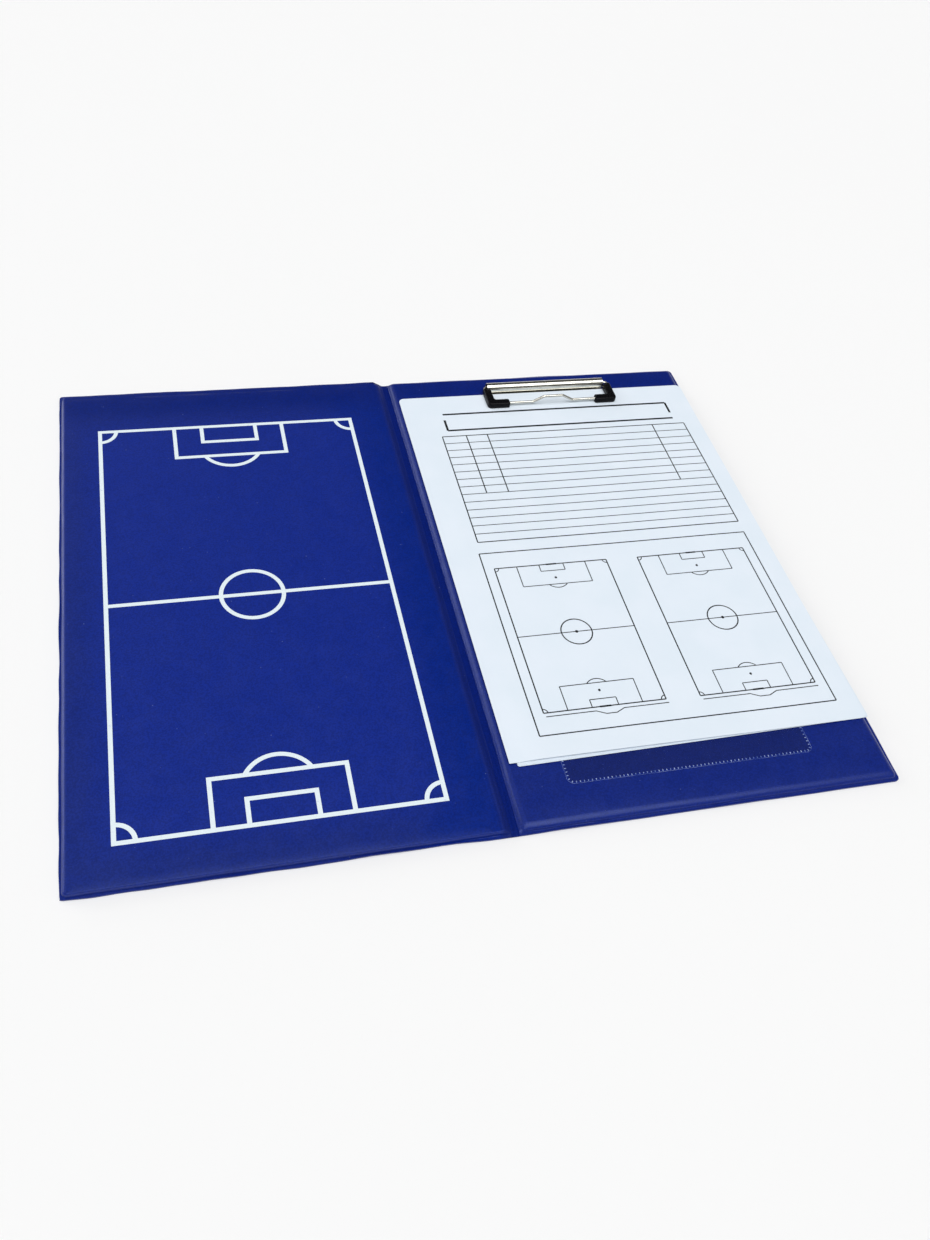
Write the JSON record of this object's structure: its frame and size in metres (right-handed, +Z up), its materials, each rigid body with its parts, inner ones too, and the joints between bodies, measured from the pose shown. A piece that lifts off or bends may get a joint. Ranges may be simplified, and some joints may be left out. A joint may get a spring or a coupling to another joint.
{
  "type": "folding tactics board",
  "caption": "Folding coach's tactics board: vinyl-covered boards on a welded spine, printed pitch on one side, wire clip with match sheets on the other.",
  "frame": {"origin": "on the table, under the middle of the spine, half way up the cover's height", "axes": "+X to the right cover, +Y up the page towards the clip, +Z up from the table"},
  "size_m": [0.437, 0.358, 0.0125],
  "materials": {
    "vinyl": "semi-matt royal blue soft vinyl film, fine leather-like emboss",
    "board": "grey-brown pressed board",
    "ink": "white screen-printed ink",
    "clear_film": "thin clear film with a dotted weld",
    "plated_steel": "bright nickel-plated steel",
    "sleeve": "black moulded plastic",
    "paper": "white printed sheets"
  },
  "bodies": {
    "right_cover": {"right_outer_skin": "vinyl", "right_board": "board", "right_lining": "vinyl", "pocket_film": "clear_film", "pocket_seam": "clear_film", "clip_bracket": "plated_steel", "clip_rivet_left": "plated_steel", "clip_rivet_right": "plated_steel", "rivet_washer_left": "plated_steel", "rivet_washer_right": "plated_steel"},
    "spine": {"spine_outer_skin": "vinyl", "spine_stiffener": "board", "spine_lining": "vinyl", "left_crease_weld": "vinyl", "right_crease_weld": "vinyl"},
    "left_cover": {"left_outer_skin": "vinyl", "left_board": "board", "left_lining": "vinyl", "pitch_print": "ink"},
    "clip_bail": {"bail_wire": "plated_steel", "bail_sleeve_left": "sleeve", "bail_sleeve_right": "sleeve"},
    "paper_pad": {"sheet_stack": "paper", "top_sheet_head": "paper"},
    "page": {"top_sheet": "paper"}
  },
  "joints": [
    {"name": "right_crease", "type": "hinge", "parent": "right_cover", "child": "spine", "pos_m": [0.004, 0, 0.00045], "axis": [0, 1, 0], "range_deg": [-90, 90]},
    {"name": "left_crease", "type": "hinge", "parent": "spine", "child": "left_cover", "pos_m": [-0.004, 0, 0.00045], "axis": [0, 1, 0], "range_deg": [-90, 84]},
    {"name": "bail_pivot", "type": "hinge", "parent": "right_cover", "child": "clip_bail", "pos_m": [0.11405, 0.1615, 0.0073], "axis": [1, 0, 0], "range_deg": [-95, 0], "stiffness_Nm_per_rad": 0.05, "springref_deg": 57.3},
    {"name": "pad_slide", "type": "slide", "parent": "right_cover", "child": "paper_pad", "axis": [0, 1, 0], "range_m": [-0.04, 0]},
    {"name": "page_turn", "type": "hinge", "parent": "paper_pad", "child": "page", "pos_m": [0.111, 0.1373, 0.00502], "axis": [1, 0, 0], "range_deg": [-95, 0]}
  ]
}
